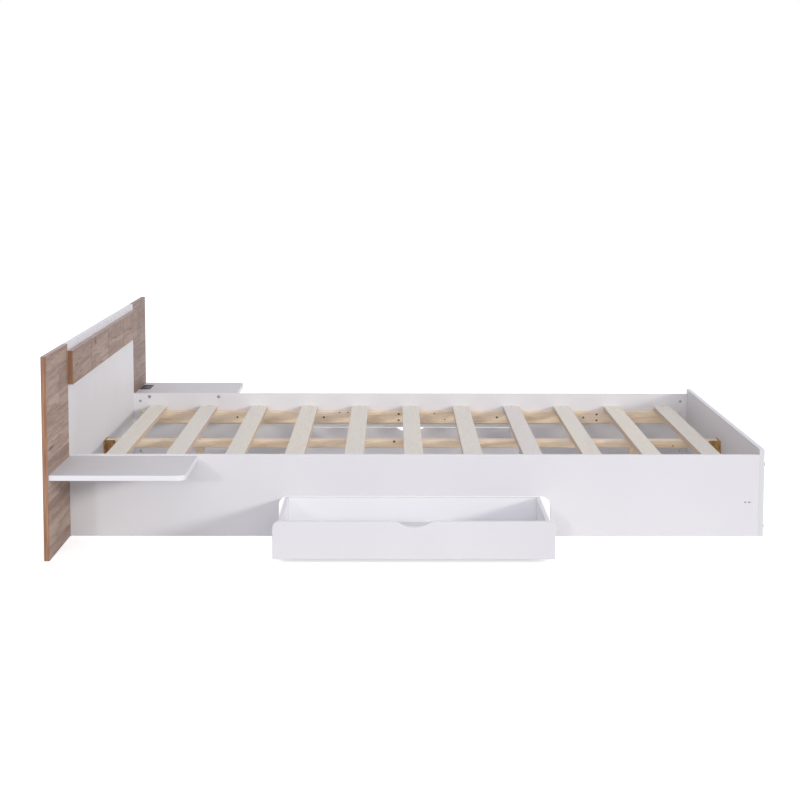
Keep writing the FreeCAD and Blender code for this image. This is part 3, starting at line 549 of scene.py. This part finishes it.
def flat_bolt(length):
    return [(5.3, 0.0), (5.85, -0.35), (BOLT_HEAD, -0.9), (BOLT_HEAD, -BOLT_HEAD_DEPTH),
            (BOLT_SHANK, -BOLT_HEAD_DEPTH), (BOLT_SHANK, BOLT_TIP_LENGTH - length), (BOLT_TIP, -length)]


# Each kind's outline, its recess and that recess's depth

WOOD_SCREW = wood_screw, cross_outline(reach=2.4, half=0.5), 1.7
PAN_SCREW = pan_screw, cross_outline(reach=2.1, half=0.5), 1.4
FLAT_BOLT = flat_bolt, polygon(2.35, HEX_SIDES), 2.0
FASTENERS = [
    ("wood_screws", "bed_frame", SCREW_STEEL, "yellow_zinc_steel", WOOD_SCREW),
    ("near_drawer_screws", "near_drawer", SCREW_STEEL, "yellow_zinc_steel", WOOD_SCREW),
    ("far_drawer_screws", "far_drawer", SCREW_STEEL, "yellow_zinc_steel", WOOD_SCREW),
    ("hanger_screws", "bed_frame", ZINC, "zinc_steel", PAN_SCREW),
    ("corner_bolts", "bed_frame", ZINC, "zinc_steel", FLAT_BOLT),
    ("shelf_bolts", "bed_frame", ZINC, "zinc_steel", FLAT_BOLT),
]


def new_piece(name, shell, finish):
    """A scene object of this shell, smooth where it curves and sharp where it turns a corner."""
    bmesh.ops.recalc_face_normals(shell, faces=shell.faces)
    for face in shell.faces:
        face.smooth = True
    for edge in shell.edges:
        edge.smooth = edge.calc_face_angle(0.0) < SHARP_ANGLE
    mesh = bpy.data.meshes.new(name)
    shell.to_mesh(mesh)
    shell.free()
    mesh.materials.append(finish)
    piece = bpy.data.objects.new(name, mesh)
    bpy.context.scene.collection.objects.link(piece)
    return piece


for node, body, finish, slot, (outline, recess, depth) in FASTENERS:
    shell = bmesh.new()
    for solid in solids_of(node):
        stand, length = head_of(solid)
        add_fastener(shell, stand, outline(length / MM), recess, depth)
    piece = new_piece(f"{node}_detail", shell, finish)
    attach(piece, body)
    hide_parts(node)

# Floor: white where the camera or a shiny surface sees it, keeping a soft shadow of the bed

FLOOR_HALF = 15.0
FLOOR_GLOW = 0.6
FLOOR_GREY = 0.8
FLOOR_SHADE = 1.25


def background_rays(tree):
    """1 for rays that show the background: from the camera, off shiny surfaces and through clear ones."""
    path = tree.nodes.new("ShaderNodeLightPath")
    factor = path.outputs["Is Camera Ray"]
    for other in ("Is Glossy Ray", "Is Transmission Ray"):
        larger = tree.nodes.new("ShaderNodeMath")
        larger.operation = "MAXIMUM"
        tree.links.new(factor, larger.inputs[0])
        tree.links.new(path.outputs[other], larger.inputs[1])
        factor = larger.outputs[0]
    return factor


def floor_material():
    material = bpy.data.materials.new("floor")
    material.use_nodes = True
    tree = material.node_tree
    tree.nodes.clear()

    def shader(kind, colour, strength=None):
        node = tree.nodes.new(kind)
        node.inputs["Color"].default_value = colour
        if strength is not None:
            node.inputs["Strength"].default_value = strength
        return node.outputs[0]

    plain = shader("ShaderNodeBsdfDiffuse", (*[FLOOR_GREY] * 3, 1.0))
    shade = shader("ShaderNodeBsdfDiffuse", (*[FLOOR_GREY * FLOOR_SHADE] * 3, 1.0))
    glow = shader("ShaderNodeEmission", PURE_WHITE, FLOOR_GLOW)
    seen = tree.nodes.new("ShaderNodeAddShader")
    tree.links.new(shade, seen.inputs[0])
    tree.links.new(glow, seen.inputs[1])
    chosen = tree.nodes.new("ShaderNodeMixShader")
    tree.links.new(background_rays(tree), chosen.inputs[0])
    tree.links.new(plain, chosen.inputs[1])
    tree.links.new(seen.outputs[0], chosen.inputs[2])
    output = tree.nodes.new("ShaderNodeOutputMaterial")
    tree.links.new(chosen.outputs[0], output.inputs["Surface"])
    return material


def make_floor():
    mesh = bpy.data.meshes.new("floor")
    corners = [(-FLOOR_HALF, -FLOOR_HALF, 0), (FLOOR_HALF, -FLOOR_HALF, 0),
               (FLOOR_HALF, FLOOR_HALF, 0), (-FLOOR_HALF, FLOOR_HALF, 0)]
    mesh.from_pydata(corners, [], [(0, 1, 2, 3)])
    mesh.materials.append(floor_material())
    plane = bpy.data.objects.new("floor", mesh)
    bpy.context.scene.collection.objects.link(plane)
    return plane


floor = make_floor()

# World: an even ambient light, white where it is seen

AMBIENT = (0.535, 0.527, 0.588, 1.0)


def make_world():
    world = bpy.data.worlds.new("studio")
    bpy.context.scene.world = world
    world.use_nodes = True
    tree = world.node_tree
    light = tree.nodes.new("ShaderNodeMix")
    light.data_type = "RGBA"
    tree.links.new(background_rays(tree), light.inputs[0])
    light.inputs[MIX_FIRST].default_value = AMBIENT
    light.inputs[MIX_SECOND].default_value = PURE_WHITE
    tree.links.new(light.outputs[MIX_RESULT], tree.nodes["Background"].inputs["Color"])


make_world()


def distant_lamp(name, toward, spread, power, colour=(1.0, 1.0, 1.0)):
    """A sun lamp that shines from a direction; its spread in degrees softens the shadows."""
    lamp = bpy.data.lights.new(name, "SUN")
    lamp.angle = math.radians(spread)
    lamp.energy = power
    lamp.color = colour
    stand = bpy.data.objects.new(name, lamp)
    stand.rotation_euler = Vector(toward).to_track_quat("Z", "Y").to_euler()
    bpy.context.scene.collection.objects.link(stand)


distant_lamp("front_light", (0.05, -1.0, 0.10), spread=25.0, power=0.42, colour=(0.95, 0.935, 1.0))
distant_lamp("right_light", (1.05, -1.0, 0.32), spread=7.0, power=0.98, colour=(1.0, 0.995, 0.98))
distant_lamp("left_light", (-0.20, -1.0, 0.17), spread=3.0, power=0.27)
distant_lamp("top_light", (0.1, -0.2, 1.0), spread=60.0, power=0.2)

# Camera at the photograph's viewing angle

IMAGE_SIDE = 800
FOCAL_PIXELS = 2096.5
SENSOR_WIDTH = 36.0
CAMERA_PLACE = Vector((-0.0593, -6.9254, 1.1504))
CAMERA_YAW, CAMERA_DOWN, CAMERA_ROLL = (math.radians(angle) for angle in (-0.204, 6.887, 0.084))


def make_camera():
    lens = bpy.data.cameras.new("camera")
    lens.sensor_width = SENSOR_WIDTH
    lens.lens = FOCAL_PIXELS / IMAGE_SIDE * SENSOR_WIDTH
    camera = bpy.data.objects.new("camera", lens)
    turn = Matrix.Rotation(CAMERA_YAW, 4, "Z") @ Matrix.Rotation(math.pi / 2 - CAMERA_DOWN, 4, "X")
    camera.matrix_world = Matrix.Translation(CAMERA_PLACE) @ turn @ Matrix.Rotation(CAMERA_ROLL, 4, "Z")
    bpy.context.scene.collection.objects.link(camera)
    bpy.context.scene.camera = camera


make_camera()
bpy.context.scene.view_settings.view_transform = "Standard"
